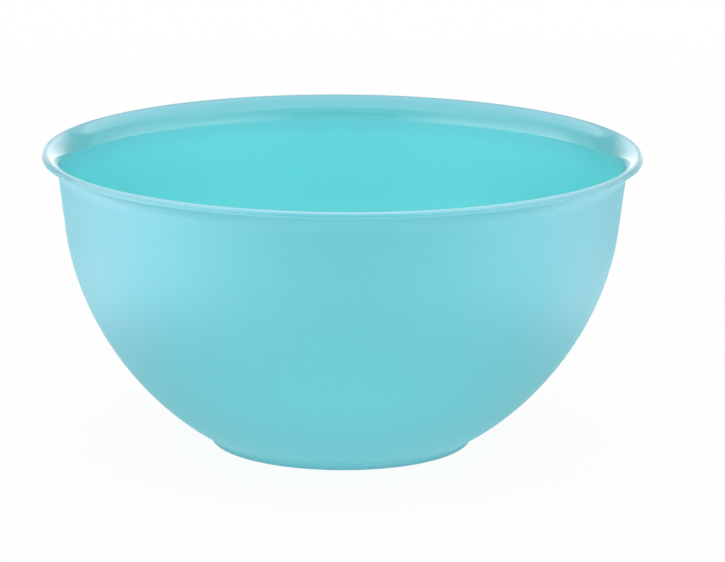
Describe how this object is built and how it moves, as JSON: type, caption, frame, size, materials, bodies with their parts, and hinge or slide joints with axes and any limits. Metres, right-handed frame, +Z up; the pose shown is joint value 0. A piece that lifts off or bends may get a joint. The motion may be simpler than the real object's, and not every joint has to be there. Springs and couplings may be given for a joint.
{
  "type": "salad bowl",
  "caption": "Deep round salad bowl with a flared lip and a low foot ring, a satin outer shell closed over a glossy inner liner.",
  "frame": {"origin": "centre of the foot ring, on the surface that the bowl stands on", "axes": "+Z up along the bowl's axis; the bowl is the same all round, so X and Y are free"},
  "size_m": [0.28, 0.28, 0.1385],
  "materials": {
    "shell_plastic": "satin moulded plastic with a fine grain",
    "liner_plastic": "smooth glossy moulded plastic"
  },
  "bodies": {
    "root": {"outer_shell": "shell_plastic", "inner_liner": "liner_plastic"}
  },
  "joints": []
}
